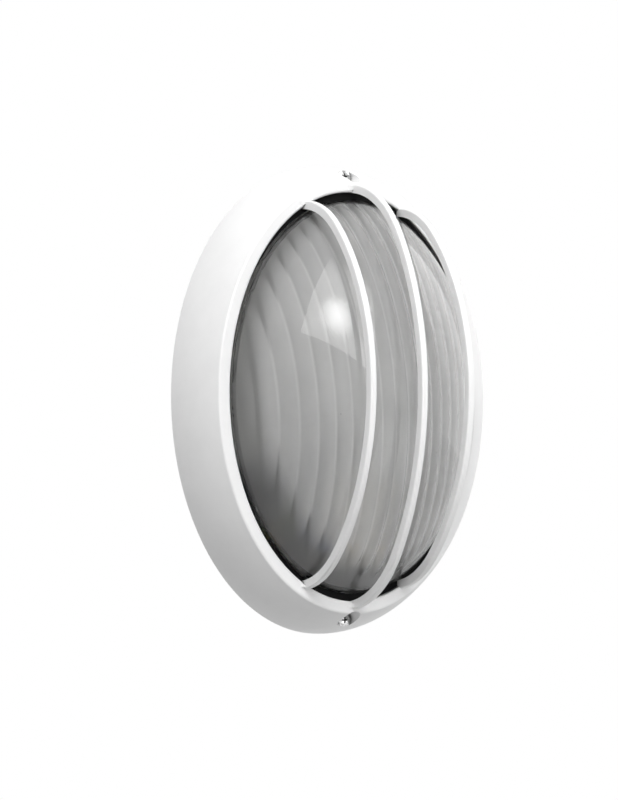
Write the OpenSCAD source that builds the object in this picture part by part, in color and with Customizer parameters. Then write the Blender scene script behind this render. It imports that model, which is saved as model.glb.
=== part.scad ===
// Oval outdoor wall light: cast cage with three bowed bars over a fluted glass dome.
// X runs across the light, Z up the wall, and the light stands out from the wall towards -Y.
// The origin is on the wall, at the middle of the base. Millimetres.
// Every module is drawn lying on its back, with y up the wall and z away from it;
// on_wall() at the end stands the whole light up.

/* [Cage body] */
// Width of the skirt at the wall
body_w = 190; // [158:1:230]
// Height of the skirt at the wall
body_h = 270; // [225:1:330]
// Distance from the wall to the front face of the rim
skirt_d = 43; // [36:0.5:52]
// How far the skirt curves in at each side on its way to the rim
skirt_in = 8.75; // [6:0.25:12]
// Gap between the skirt's back edge and the wall
skirt_lift = 1; // [0.5:0.1:2]
// Thickness of the skirt
skirt_t = 3; // [2:0.1:4]
// Width of the rim's front face
rim_w = 6.9; // [6:0.1:9]
// Thickness of the rim
rim_t = 3.5; // [2.5:0.1:5]
// Rounding on the rim's outer edge
rim_outer_r = 1.2; // [0.6:0.1:2]
// Rounding on the rim's inner edge
rim_inner_r = 1; // [0.5:0.1:1.5]

/* [Cage bars] */
// Distance between neighbouring bars
bar_pitch = 31; // [25:0.5:37]
// Width of a bar, seen from the front
bar_w = 3.7; // [3:0.1:5]
// Depth of a bar
bar_d = 4.9; // [4:0.1:6]
// Rounding on a bar's front edges
bar_r = 0.9; // [0.4:0.1:1.4]
// How far the middle bar bows out beyond the rim
bow_mid = 75; // [66:0.5:90]
// How far the side bars bow out beyond the rim
bow_side = 73; // [66:0.5:88]
// Radius of the middle bar's two end bends
end_r_mid = 70.5; // [60:0.5:74]
// Radius of the side bars' two end bends
end_r_side = 60.3; // [55:0.1:66]
// How far behind the rim's face the middle bar's end bends are centred
end_back_mid = 11.1; // [8:0.1:14]
// How far behind the rim's face the side bars' end bends are centred
end_back_side = 8.1; // [6:0.1:11]
// How far past the rim's opening the middle bar's front lands
land_mid = 4.5; // [4:0.1:5.5]
// How far past the rim's opening the side bars' fronts land
land_side = 2.2; // [1.5:0.1:3.5]
// Fillet on each side of a bar's foot
foot_r = 3; // [1.5:0.5:4]

/* [Cover screws] */
// Distance from the light's centre to each cover screw
screw_y_in = 8.6; // [8:0.1:9.5]
// Diameter of a cover screw's head
screw_head_d = 7; // [6:0.1:8]
// Height of a cover screw's head
screw_head_h = 2.6; // [2:0.1:3]
// Thread diameter of a cover screw
screw_d = 3.5; // [3:0.1:4]
// Depth of the screw pocket's floor below the rim's face
pocket_depth = 14.2; // [10:0.1:18]
// Clearance round the head in its pocket
pocket_gap = 1.7; // [0.8:0.1:1.8]

/* [Glass] */
// Gap between the rim's opening and the glass at the sides
dome_gap_side = 0.9; // [0.6:0.1:2]
// Gap between the rim's opening and the glass at the ends
dome_gap_end = 4.6; // [4:0.1:6]
// How far the glass dome stands out beyond the rim
dome_h = 57; // [50:0.5:62]
// How far below the rim's face the dome's curve is centred
dome_drop = 48; // [40:1:80]
// Thickness of the glass
glass_t = 3.6; // [3:0.1:4.5]
// Thickness of the glass flange
flange_t = 4; // [3:0.1:5]
// Distance between neighbouring flutes
flute_pitch = 7.8; // [6:0.1:10]
// Depth of a flute
flute_depth = 0.9; // [0.5:0.1:1.2]
// Lean of the flutes from upright
flute_lean = 4.3; // [0:0.1:5]
// How far the middle flute stands off the light's centre line
flute_shift = -2.6; // [-3.5:0.1:-2]
// Plain band left round the fluted field
flute_margin = 3.2; // [2.5:0.1:6]

/* [Seals] */
// Thickness of the glass seal's two lips
seal_t = 1.5; // [1:0.1:2]
// Thickness of the seal's outer web
seal_web = 1.2; // [0.8:0.1:1.5]
// Thickness of the foam seal behind the base
back_seal_t = 1.5; // [1:0.1:2.5]
// Width of the foam seal
back_seal_w = 7; // [5:0.5:8]

/* [Rear base] */
// Thickness of the base's back
base_t = 3; // [2.5:0.1:4]
// Thickness of the base's upright wall
base_wall_t = 3; // [2.5:0.1:4]
// Distance between the two wall fixing slots
fixing_pitch = 104; // [90:1:110]
// Width of a wall fixing slot
fixing_w = 5.2; // [4.5:0.1:6]
// Length of a wall fixing slot, end to end
fixing_l = 12; // [8:1:16]
// Diameter of the supply cable that the grommet takes
cable_d = 7.2; // [6:0.1:9]
// Diameter of the cable entry in the base
entry_d = 20; // [16:1:22]

/* [Lamp and lampholder] */
// Height of the lamp's axis above the wall
lamp_z = 42; // [40:1:46]
// Diameter of the lamp's globe
lamp_d = 60; // [50:1:60]
// Length of the lamp, tip to top
lamp_l = 104; // [96:1:110]
// Diameter of the lamp's screw cap
cap_d = 26.6; // [26:0.1:27]
// Outer diameter of the lampholder's mouth
holder_d = 38; // [36:0.5:42]
// Length of the lampholder
holder_l = 47; // [44:1:52]
// Thickness of the lampholder's sheet bracket
bracket_t = 1.5; // [1:0.1:2]
// Thickness of the reflector sheet
reflector_t = 0.8; // [0.6:0.1:1]
// Diameter of the lampholder leads over their insulation
lead_d = 2.2; // [1.8:0.1:2.4]

/* [Terminal block] */
// Distance between neighbouring ways of the terminal block
way_pitch = 10; // [9.5:0.1:12]
// Width of the terminal block along its ways
block_w = 17; // [15:0.5:20]
// Outer diameter of a brass clamp tube
clamp_d = 4.6; // [4.2:0.1:5]

/* [Hidden] */
$fn = 96;
past = 1;             // how far a cutting shape runs past the face it cuts
fit = 0.3;            // running clearance between pieces that pass each other
thread_fit = 0.1;     // clearance between a screw and its tapped hole

// Cage outline: similar ellipses from the wall to the rim, with the skirt a circular arc
cage_a = body_w / 2;
cage_b = body_h / 2;
skirt_r = (skirt_in * skirt_in + skirt_d * skirt_d) / (2 * skirt_in);
skirt_cx = cage_a - skirt_r;
front_a = cage_a - skirt_in;
front_b = front_a * cage_b / cage_a;
open_a = front_a - rim_w;
open_b = front_b - rim_w;
cavity_a = cage_a - skirt_t;
cavity_b = cage_b - skirt_t;
cavity_top = skirt_d - rim_t;
// the cavity's half-width and half-height where it meets the rim
cavity_top_a = skirt_cx + sqrt(pow(skirt_r - skirt_t, 2) - pow(cavity_top, 2));
cavity_top_b = cavity_top_a * cavity_b / cavity_a;

// Where a bar's crown takes in the ends of its bends: the skin over them, and how far they run in
bar_skin = 0.01;
bar_lap = 0.3;

// Screws: their line is set in from the skirt's outline at the wall
screw_y = cage_b - screw_y_in;
pocket_z = skirt_d - pocket_depth;
pocket_r = screw_head_d / 2 + pocket_gap;
cage_boss_r = pocket_r + 1;
cage_boss_z = 9.5;

// Glass seal and flange, seated behind the rim
seal_gap = 0.6;
seal_a = cavity_top_a - seal_gap;
seal_b = cavity_top_b - seal_gap * 2;
flange_a = seal_a - seal_web;
flange_b = seal_b - seal_web;
flange_top = cavity_top - seal_t;
flange_z = flange_top - flange_t;
seal_z = flange_z - seal_t;
dome_a = open_a - dome_gap_side;
dome_b = open_b - dome_gap_end;
inner_a = dome_a - glass_t;
inner_b = dome_b - glass_t;

// Full half-axes of the ellipsoids that the dome's two faces are caps of,
// centred dome_drop below the rim's face
outer_rise = dome_h + dome_drop;
inner_rise = outer_rise - glass_t;
pole_flat = 0.004;      // sliver taken off each pole, where the face's quarter turns meet in a small flat
inner_part = sqrt(1 - pow(dome_drop / inner_rise, 2));
inner_full_a = inner_a / inner_part;
inner_full_b = inner_b / inner_part;

// Base
base_gap = 1;
base_a = cavity_a - base_gap;
base_b = cavity_b - base_gap;
base_z = back_seal_t;
floor_z = base_z + base_t;
base_wall_a = seal_a - 1;
base_wall_b = seal_b - 1;
base_in_a = base_wall_a - base_wall_t;
base_in_b = base_wall_b - base_wall_t;
post_r = 4.4;
post_top = cage_boss_z - 0.5;
fixing_pad_h = 1.5;
fixing_pad_w = 3;
boss_sink = 0.5;        // how far bosses and pads run down into the floor that they stand on
entry_pos = [-45, -60];
grommet_l = 12;
grommet_lip = 2.5;

// Small screws inside: thread radius, head radius and head height
small_r = 1.9;
small_head_r = 3.4;
small_head_h = 2.2;
tapped_r = small_r + thread_fit;

// Lampholder, measured along the lamp's axis from its back
holder_back = -base_in_b + 22;        // the bracket's front face
holder_neck_l = 16;
holder_neck_r = 15;
holder_r = holder_d / 2;
cup_floor = holder_back + 18.5;
shell_in_r = cap_d / 2 + fit;
shell_t = 0.4;
shell_l = 21;
cup_r = shell_in_r + shell_t + 0.2;
mouth_r = cup_r + 2;
contact_h = 2.4;
lamp_tip = cup_floor + contact_h + 0.2;
bracket_w = 34;
bracket_foot = 32;
bracket_z = floor_z + 4;
bracket_top = lamp_z + 10;
bracket_screw_x = 9;
bracket_screw_y = holder_back + 17;
holder_screw_x = 9;
terminal_x = 8;
terminal_y = holder_back + 9;
terminal_z = lamp_z + 8;

// Reflector
reflector_z = floor_z + 5;
reflector_a = base_in_a - 4;
reflector_b = base_in_b - 4;
reflector_rim_h = 9;
reflector_cut_y = holder_back + 58;
reflector_screw = [40, 56];

// Terminal block
block_pos = [46, holder_back + 39.5];
block_l = 3 * way_pitch + 2;
block_z = floor_z + 2;
block_h = 9;
way_z = block_z + 5;
tower_r = 3;
tower_h = 4;
tower_x = 4.2;
clamp_bore_r = 1.5;
clamp_screw_r = 1.4;
block_screw_y = block_pos[1] + way_pitch / 2;

// Earth terminal
earth_pos = [-34, holder_back + 13];
earth_z = floor_z + 4;
washer_t = 1;

// Lead routes, from the terminal block to where each is held at its other end
lead_in = 3;
live_route = [[block_pos[0] - block_w / 2 + lead_in, block_pos[1] - way_pitch, way_z],
    [block_pos[0] - block_w / 2 - 3, block_pos[1] - way_pitch, way_z],
    [30, block_pos[1] - way_pitch - 4, way_z + 6], [25, terminal_y + 6, terminal_z - 16],
    [23, terminal_y + 1, terminal_z - 5], [18, terminal_y, terminal_z],
    [terminal_x + 2.5, terminal_y, terminal_z]];
neutral_route = [[block_pos[0] - block_w / 2 + lead_in, block_pos[1], way_z],
    [block_pos[0] - block_w / 2 - 3, block_pos[1], way_z],
    [26, block_pos[1] - 2, way_z + 4], [10, block_pos[1] - 5, way_z + 6],
    [-12, block_pos[1] - 10, way_z + 6], [-24, terminal_y + 8, terminal_z - 22],
    [-24.5, terminal_y + 1.5, terminal_z - 7], [-18.5, terminal_y, terminal_z],
    [-terminal_x - 2.5, terminal_y, terminal_z]];
earth_route = [[block_pos[0] - block_w / 2 + lead_in, block_pos[1] + way_pitch, way_z],
    [block_pos[0] - block_w / 2 - 3, block_pos[1] + way_pitch, way_z],
    [25, block_pos[1] + way_pitch - 3, way_z + 2], [5, block_pos[1] + 2, way_z + 1.5],
    [-14, block_pos[1] - 6, way_z + 1.5], [-25, earth_pos[1] + 13, way_z + 1],
    [-31, earth_pos[1] + 7, earth_z + 2.2], [earth_pos[0], earth_pos[1] + small_head_r + 0.7, earth_z + 1.7]];

// Stands a piece up from its back onto the wall
module on_wall() { rotate([90, 0, 0]) children(); }

// Turns a profile round the z axis and stretches it to an oval, a quarter turn at a time
module oval_turn(a, b) {
    for (quarter = [0:3])
        scale([1, b / a, 1]) rotate([0, 0, 90 * quarter]) rotate_extrude(angle = 90) children();
}

// An upright slab whose outline is an ellipse
module oval(a, b, h) { oval_turn(a, b) square([a, h]); }

// Points of a screw ring: the same child above and below the centre
module at_ends() { for (side = [-1, 1]) translate([0, side * screw_y, 0]) children(); }

// Skirt's outer section: the curved side, closed by the rim's face with a rounded edge
module skirt_section() {
    edge_c = [skirt_cx + sqrt(pow(skirt_r - rim_outer_r, 2) - pow(skirt_d - rim_outer_r, 2)),
        skirt_d - rim_outer_r];
    side_dir = [edge_c[0] - skirt_cx, edge_c[1]] / (skirt_r - rim_outer_r);
    difference() {
        intersection() {
            translate([skirt_cx, 0]) circle(r = skirt_r);
            translate([0, skirt_lift]) square([cage_a, skirt_d - skirt_lift]);
        }
        polygon([edge_c, edge_c + [0, 3 * rim_outer_r], edge_c + 3 * rim_outer_r * [1, 1],
            edge_c + 3 * rim_outer_r * side_dir]);
    }
    translate(edge_c) circle(r = rim_outer_r, $fn = 32);
}

module skirt_solid() { oval_turn(cage_a, cage_b) skirt_section(); }

// Hollow behind the rim, which the base, glass and seal fill
module skirt_hollow() {
    oval_turn(cavity_a, cavity_b) intersection() {
        translate([skirt_cx, 0]) circle(r = skirt_r - skirt_t);
        square([cavity_a, cavity_top]);
    }
}

// Opening in the rim, with its front edge rounded
module rim_opening() {
    oval_turn(open_a, open_b) {
        translate([0, cavity_top - past]) square([open_a, rim_t + 2 * past]);
        difference() {
            translate([open_a, skirt_d - rim_inner_r]) square([rim_inner_r, rim_inner_r + past]);
            translate([open_a + rim_inner_r, skirt_d - rim_inner_r]) circle(r = rim_inner_r, $fn = 32);
        }
    }
}

// A bar's section at radius r, with its two front edges rounded, and larger all round by skin
module bar_section(r, skin) {
    w = bar_w / 2 + skin;
    back = r - bar_d - skin;
    front = r + skin;
    translate([back, -w]) square([front - back - bar_r, 2 * w]);
    translate([back, bar_r - w]) square([front - back, 2 * (w - bar_r)]);
    for (side = [-1, 1]) translate([front - bar_r, side * (w - bar_r)]) circle(r = bar_r, $fn = 32);
}

// Part of a bar: an arc of radius r centred at [y, z], from angle a0 to a1 up from the y axis
module bar_arc(r, centre, a0, a1, skin = 0) {
    translate([0, centre[0], centre[1]]) rotate([90, 0, 90]) rotate([0, 0, a0])
        rotate_extrude(angle = a1 - a0, $fn = 180) bar_section(r, skin);
}

// Where a bar's front meets the rim's face, past the opening's edge at that x
function landing(x, land) = open_b * sqrt(1 - pow(x / open_a, 2)) + land;

// Fillet in the corner between x = 0 and z = 0, running along y
module corner_fillet(r, l) {
    difference() {
        translate([0, -l / 2, 0]) cube([r, l, r]);
        translate([r, 0, r]) rotate([90, 0, 0]) cylinder(r = r, h = l + 2, center = true, $fn = 48);
    }
}

// One bar: a flat crown arc between two tighter end bends, tangent to each other.
// The bends run a little way into the crown, whose skin over them is too thin to see.
module bar(x, bow, end_r, end_back, land) {
    sink = rim_t - 1;
    land_y = landing(x, land);
    end_y = land_y - sqrt(end_r * end_r - end_back * end_back);
    rise = bow + end_back;
    crown_r = (end_y * end_y + rise * rise - end_r * end_r) / (2 * (rise - end_r));
    half = atan2(end_y, crown_r - rise);
    foot_a = asin((end_back - sink) / end_r);
    translate([x, 0, 0]) {
        bar_arc(crown_r, [0, skirt_d + bow - crown_r], 90 - half, 90 + half, bar_skin);
        for (side = [0, 1]) mirror([0, side, 0]) {
            bar_arc(end_r, [end_y, skirt_d - end_back], foot_a, 90 - half + bar_lap);
        }
    }
}

// The corner fillets on both sides of a bar's two feet
module foot(x, end_r, end_back, land) {
    translate([x, 0, 0]) for (side = [0, 1], flip = [0, 1]) mirror([0, side, 0]) mirror([flip, 0, 0])
        translate([bar_w / 2 - 0.05, landing(x, land) - bar_d / 2, skirt_d - 0.05])
            rotate([asin(end_back / end_r), 0, 0]) corner_fillet(foot_r, bar_d - 2 * bar_r);
}

module bars() {
    bar(0, bow_mid, end_r_mid, end_back_mid, land_mid);
    for (side = [-1, 1]) bar(side * bar_pitch, bow_side, end_r_side, end_back_side, land_side);
}

// Fillets at the bars' feet, kept to the rim's own outline
module feet() {
    intersection() {
        union() {
            foot(0, end_r_mid, end_back_mid, land_mid);
            for (side = [-1, 1]) foot(side * bar_pitch, end_r_side, end_back_side, land_side);
        }
        difference() {
            translate([0, 0, skirt_d - 1]) oval(front_a - rim_outer_r, front_b - rim_outer_r, foot_r + 2);
            translate([0, 0, skirt_d - 2]) oval(open_a + rim_inner_r, open_b + rim_inner_r, foot_r + 4);
        }
    }
}

// One casting: skirt, rim, bars and the two screw bosses
module front_cage() {
    color("white") on_wall() difference() {
        union() {
            difference() {
                skirt_solid();
                skirt_hollow();
                rim_opening();
            }
            intersection() {
                skirt_solid();
                at_ends() translate([0, 0, cage_boss_z]) cylinder(r = cage_boss_r, h = skirt_d);
            }
            bars();
            feet();
        }
        at_ends() {
            translate([0, 0, pocket_z]) cylinder(r = pocket_r, h = skirt_d);
            cylinder(r = screw_d / 2 + fit, h = skirt_d);
        }
    }
}

// Pan head with a cross recess, its seat at z = 0 and its crown at z = h
module pan_head(r, h) {
    arm = r * 0.52;
    difference() {
        rotate_extrude($fn = 64) intersection() {
            square([r, h]);
            translate([0, h - 2.2 * r]) circle(r = 2.2 * r);
        }
        for (turn = [0, 90]) rotate([90, 0, turn]) linear_extrude(height = r * 0.26, center = true)
            polygon([[-arm, h + past], [-arm, h], [-arm * 0.55, h * 0.35], [arm * 0.55, h * 0.35],
                [arm, h], [arm, h + past]]);
    }
}

module screw(thread_r, l, head_r, head_h) {
    pan_head(head_r, head_h);
    translate([0, 0, -l]) cylinder(r = thread_r, h = l + 0.01, $fn = 48);
}

module cover_screw(side) {
    color("silver") on_wall() translate([0, side * screw_y, pocket_z])
        screw(screw_d / 2, pocket_z - base_z - 1, screw_head_d / 2, screw_head_h);
}
module cover_screw_upper() { cover_screw(1); }
module cover_screw_lower() { cover_screw(-1); }

// Section of an upright wall at radius a, from bottom up, that closes in a cap of an ellipsoid.
// The ellipsoid is centred dome_drop below the rim's face, and the wall meets it at that face.
module cap_section(a, rise, bottom) {
    centre_z = skirt_d - dome_drop;
    intersection() {
        translate([0, centre_z]) scale([a / sqrt(rise * rise - dome_drop * dome_drop), 1])
            circle(r = rise);
        translate([0, bottom]) square([a, centre_z + rise - pole_flat - bottom]);
    }
}

// Inside of the glass: its wall and cap, with a field of leaning grooves round the cap's inner side
module dome_hollow() {
    groove_r = (flute_pitch * flute_pitch / 4 + flute_depth * flute_depth) / (2 * flute_depth);
    sink = groove_r - flute_depth + 0.1;        // how far in from the glass the grooves are centred
    line = inner_rise - sink;
    line_a = inner_full_a - sink;
    field_a = inner_a - flute_margin;
    count = floor(field_a / flute_pitch);
    turn = atan(tan(flute_lean) * inner_b / inner_a);
    oval_turn(inner_a, inner_b) cap_section(inner_a, inner_rise, flange_z - past);
    intersection() {
        translate([0, 0, skirt_d - dome_drop])
            scale([inner_full_a, inner_full_b, inner_rise]) rotate([0, 0, turn])
            scale([1 / inner_full_a, 1 / inner_rise, 1 / inner_rise]) rotate([0, 90, 0]) rotate_extrude()
                intersection() {
                    translate([0, -inner_full_a]) square([inner_rise + flute_depth, 2 * inner_full_a]);
                    for (x = [-count * flute_pitch + flute_shift:flute_pitch:field_a])
                        translate([line * sqrt(1 - pow(x / line_a, 2)), x]) circle(r = groove_r);
                }
        translate([0, 0, skirt_d]) oval(field_a, inner_b - flute_margin, dome_h);
    }
}

// Pressed glass: flange, short upright wall and fluted dome
module glass_dome() {
    color("gainsboro") on_wall() difference() {
        union() {
            translate([0, 0, flange_z]) oval(flange_a, flange_b, flange_t);
            oval_turn(dome_a, dome_b) cap_section(dome_a, outer_rise, flange_z + flange_t / 2);
        }
        dome_hollow();
    }
}

// Black rubber seal, folded round the edge of the glass flange
module glass_gasket() {
    color("black") on_wall() difference() {
        translate([0, 0, seal_z]) oval(seal_a, seal_b, cavity_top - seal_z);
        translate([0, 0, flange_z]) oval(flange_a, flange_b, flange_t);
        translate([0, 0, flange_top - past]) oval(dome_a + fit, dome_b + fit, seal_t + 2 * past);
        translate([0, 0, seal_z - past]) oval(inner_a, inner_b, seal_t + 2 * past);
    }
}

// Foam ring between the base and the wall
module wall_gasket() {
    color("dimgray") on_wall() difference() {
        oval(base_a, base_b, back_seal_t);
        translate([0, 0, -past]) oval(base_a - back_seal_w, base_b - back_seal_w, back_seal_t + 2 * past);
    }
}

// A straight slot with round ends, centred on the origin and running along x
module slot(w, l, h) {
    for (side = [-1, 1]) translate([side * (l - w) / 2, 0, 0]) cylinder(d = w, h = h, $fn = 48);
    translate([-(l - w) / 2, -w / 2, 0]) cube([l - w, w, h]);
}

// A boss on the base's floor, with its tapped hole cut by boss_hole
module boss(pos, r, top) {
    translate([pos[0], pos[1], floor_z - boss_sink]) cylinder(r = r, h = top - floor_z + boss_sink, $fn = 48);
}
module boss_hole(pos, r, top) {
    translate([pos[0], pos[1], base_z + 1]) cylinder(r = r, h = top, $fn = 48);
}

// Cast pan: back, upright wall, bosses and the two tapped posts that take the cover screws
module rear_base() {
    bracket_posts = [for (side = [-1, 1]) [side * bracket_screw_x, bracket_screw_y]];
    reflector_posts = [for (side = [-1, 1]) [side * reflector_screw[0], reflector_screw[1]]];
    color("lightgray") on_wall() difference() {
        union() {
            translate([0, 0, base_z]) oval(base_a, base_b, base_t);
            difference() {
                translate([0, 0, base_z]) oval(base_wall_a, base_wall_b, seal_z - base_z);
                translate([0, 0, floor_z]) oval(base_in_a, base_in_b, seal_z);
            }
            at_ends() translate([0, 0, base_z]) cylinder(r = post_r, h = post_top - base_z, $fn = 48);
            for (side = [-1, 1]) translate([side * fixing_pitch / 2, 0, floor_z - boss_sink])
                slot(fixing_w + 2 * fixing_pad_w, fixing_l + 2 * fixing_pad_w, fixing_pad_h + boss_sink);
            for (pos = bracket_posts) boss(pos, 5, bracket_z);
            for (pos = reflector_posts) boss(pos, 4, reflector_z);
            boss([block_pos[0], block_screw_y], 4, block_z);
            boss(earth_pos, 4.5, earth_z);
        }
        at_ends() translate([0, 0, base_z - past])
            cylinder(r = screw_d / 2 + thread_fit, h = skirt_d, $fn = 48);
        for (side = [-1, 1]) translate([side * fixing_pitch / 2, 0, 0]) slot(fixing_w, fixing_l, skirt_d);
        translate([entry_pos[0], entry_pos[1], 0]) cylinder(d = entry_d, h = skirt_d);
        for (pos = bracket_posts) boss_hole(pos, tapped_r, bracket_z);
        for (pos = reflector_posts) boss_hole(pos, tapped_r, reflector_z);
        boss_hole([block_pos[0], block_screw_y], 1.5 + thread_fit, block_z);
        boss_hole(earth_pos, tapped_r, earth_z);
    }
}

// Rubber grommet in the cable entry: a grooved hub with a tapering sleeve
module cable_grommet() {
    hub_r = entry_d / 2 - 0.1;
    lip_r = entry_d / 2 + grommet_lip;
    sleeve_r = cable_d / 2 + 1.6;
    color("black") on_wall() translate([entry_pos[0], entry_pos[1], 0]) rotate_extrude()
        polygon([[cable_d / 2, 0.3], [lip_r - 1, 0.3], [lip_r, base_z - 0.5], [lip_r, base_z],
            [hub_r, base_z], [hub_r, floor_z], [lip_r, floor_z], [lip_r, floor_z + 0.6],
            [lip_r - 1, floor_z + 1.5], [sleeve_r + 1.5, floor_z + 2.5], [sleeve_r, grommet_l],
            [cable_d / 2, grommet_l]]);
}

// Pressed sheet behind the lamp: a flat oval with a flared edge,
// cut straight across below the lampholder's mouth
module reflector() {
    flare = 4;
    color("white") on_wall() difference() {
        oval_turn(reflector_a, reflector_b) translate([0, reflector_z])
            polygon([[0, 0], [reflector_a - flare, 0], [reflector_a, reflector_rim_h],
                [reflector_a - reflector_t, reflector_rim_h],
                [reflector_a - flare - reflector_t, reflector_t], [0, reflector_t]]);
        translate([-body_w, -body_h, 0]) cube([2 * body_w, body_h + reflector_cut_y, body_h]);
        for (side = [-1, 1]) translate([side * reflector_screw[0], reflector_screw[1], 0])
            cylinder(r = small_r + fit, h = skirt_d, $fn = 48);
    }
}

module reflector_screws() {
    color("silver") on_wall() for (side = [-1, 1])
        translate([side * reflector_screw[0], reflector_screw[1], reflector_z + reflector_t])
            screw(small_r, 6, small_head_r, small_head_h);
}

// Lays a profile's axis along the lamp's axis, from the lampholder's back upwards
module on_lamp_axis(y) { translate([0, y, lamp_z]) rotate([-90, 0, 0]) children(); }

// Porcelain body: narrow neck at the back, wide cup in front, with wire ways and screw holes
module lampholder_body() {
    color("ivory") on_wall() difference() {
        on_lamp_axis(holder_back) rotate_extrude() difference() {
            union() {
                square([holder_neck_r, holder_neck_l]);
                polygon([[0, holder_neck_l], [holder_neck_r, holder_neck_l], [holder_r, holder_neck_l + 4],
                    [holder_r, holder_l], [0, holder_l]]);
            }
            translate([0, cup_floor - holder_back]) square([cup_r, holder_l]);
            translate([0, cup_floor - holder_back + shell_l]) square([mouth_r, holder_l]);
        }
        for (side = [-1, 1]) {
            translate([side * holder_screw_x, holder_back - past, lamp_z]) rotate([-90, 0, 0])
                cylinder(r = tapped_r, h = 10 + past, $fn = 48);
            translate([side * terminal_x, terminal_y, terminal_z]) {
                rotate([0, side * 90, 0]) cylinder(r = lead_d / 2 + fit, h = holder_r, $fn = 48);
                translate([0, 0, -2]) cylinder(r = 1.6, h = holder_r, $fn = 48);
                translate([0, 0, 3]) cylinder(r = 2.8, h = holder_r, $fn = 48);
            }
        }
    }
}

// Brass sleeve that the lamp screws into, with a lip on the porcelain floor
module lampholder_shell() {
    color("gold") on_wall() on_lamp_axis(cup_floor) rotate_extrude() {
        translate([shell_in_r, 0]) square([shell_t, shell_l]);
        translate([shell_in_r - 2, 0]) square([2 + shell_t, shell_t]);
    }
}

// Brass strip across the cup's floor, with a tongue that rises to the lamp's tip
module lampholder_contact() {
    strip_w = 5;
    strip_t = 0.5;
    half = shell_in_r - 3;
    foot = 7;       // half-widths of the tongue, at its foot and across its top
    top = 3;
    color("gold") on_wall() on_lamp_axis(cup_floor) rotate([90, 0, 90])
        linear_extrude(height = strip_w, center = true) {
            translate([-half, 0]) square([2 * half, strip_t]);
            polygon([[-foot, 0], [-top, contact_h - strip_t], [top, contact_h - strip_t], [foot, 0],
                [foot + strip_t, strip_t], [top, contact_h], [-top, contact_h], [-foot - strip_t, strip_t]]);
        }
}

module lampholder_terminals() {
    color("gold") on_wall() for (side = [-1, 1])
        translate([side * terminal_x, terminal_y, terminal_z + 3]) difference() {
            union() {
                cylinder(r = 2.5, h = 1.8, $fn = 48);
                translate([0, 0, -1.7]) cylinder(r = 1.4, h = 2, $fn = 48);
            }
            translate([-3, -0.4, 1]) cube([6, 0.8, 2]);
        }
}

// Folded steel angle: foot screwed to the base, upright behind the lampholder
module lampholder_bracket() {
    bend = bracket_t + 1;
    color("silver") on_wall() difference() {
        translate([0, holder_back, 0]) rotate([90, 0, 90]) linear_extrude(height = bracket_w, center = true)
            difference() {
                union() {
                    translate([bend - bracket_t, bracket_z]) square([bracket_foot, bracket_t]);
                    translate([-bracket_t, bracket_z + bend])
                        square([bracket_t, bracket_top - bracket_z - bend]);
                    intersection() {
                        translate([bend - bracket_t, bracket_z + bend]) circle(r = bend);
                        translate([-bracket_t, bracket_z]) square([bend, bend]);
                    }
                }
                translate([bend - bracket_t, bracket_z + bend]) circle(r = bend - bracket_t);
            }
        for (side = [-1, 1]) {
            translate([side * bracket_screw_x, bracket_screw_y, 0])
                cylinder(r = small_r + fit, h = bracket_z + 10, $fn = 48);
            translate([side * holder_screw_x, holder_back - 5, lamp_z]) rotate([-90, 0, 0])
                cylinder(r = small_r + fit, h = 10, $fn = 48);
        }
    }
}

module lampholder_screws() {
    color("silver") on_wall() for (side = [-1, 1])
        translate([side * holder_screw_x, holder_back - bracket_t, lamp_z]) rotate([90, 0, 0])
            screw(small_r, 9, small_head_r, small_head_h);
}

module bracket_screws() {
    color("silver") on_wall() for (side = [-1, 1])
        translate([side * bracket_screw_x, bracket_screw_y, bracket_z + bracket_t])
            screw(small_r, 6.5, small_head_r, small_head_h);
}

// Opal lamp, one sealed piece: tip, screw cap, neck and globe
module lamp() {
    globe_r = lamp_d / 2;
    globe_y = lamp_l - globe_r;
    cap_l = 25;
    neck_r = cap_d / 2 + 1.2;
    flare_r = 28;
    flare_x = neck_r + flare_r;
    flare_y = globe_y - sqrt(pow(globe_r + flare_r, 2) - flare_x * flare_x);
    meet = globe_r / (globe_r + flare_r);
    meet_y = globe_y + (flare_y - globe_y) * meet;
    color("whitesmoke") on_wall() on_lamp_axis(lamp_tip) rotate_extrude() {
        polygon([[0, 0], [4, 0], [4.8, 1.2], [6, 1.6], [10.5, 3.6], [cap_d / 2, 4.6], [cap_d / 2, cap_l],
            [0, cap_l]]);
        translate([0, cap_l - 1]) square([neck_r, flare_y - cap_l + 1]);
        difference() {
            polygon([[0, flare_y], [flare_x, flare_y], [flare_x * meet, meet_y], [0, meet_y]]);
            translate([flare_x, flare_y]) circle(r = flare_r);
        }
        intersection() {
            translate([0, globe_y]) circle(r = globe_r);
            translate([0, meet_y]) square([globe_r, lamp_l]);
        }
    }
}

// Places a child at each way of the terminal block
module at_ways() {
    for (k = [-1:1]) translate([block_pos[0], block_pos[1] + k * way_pitch, way_z]) children();
}

// Moulded three-way block: a bar with a screw tower at each end of every way
module terminal_block() {
    color("ivory") on_wall() difference() {
        union() {
            translate([block_pos[0] - block_w / 2, block_pos[1] - block_l / 2, block_z])
                cube([block_w, block_l, block_h]);
            at_ways() for (side = [-1, 1]) translate([side * tower_x, 0, 0])
                cylinder(r = tower_r, h = block_z + block_h + tower_h - way_z, $fn = 48);
        }
        at_ways() {
            rotate([0, 90, 0]) cylinder(d = clamp_d + 0.2, h = block_w + 2, center = true, $fn = 48);
            for (side = [-1, 1]) translate([side * tower_x, 0, 0]) cylinder(r = 2, h = 20, $fn = 48);
        }
        translate([block_pos[0], block_screw_y, 0]) cylinder(r = 1.5 + fit, h = 40, $fn = 48);
        translate([block_pos[0], block_screw_y, block_z + block_h - 2.5]) cylinder(r = 2.4, h = 40, $fn = 48);
    }
}

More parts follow.
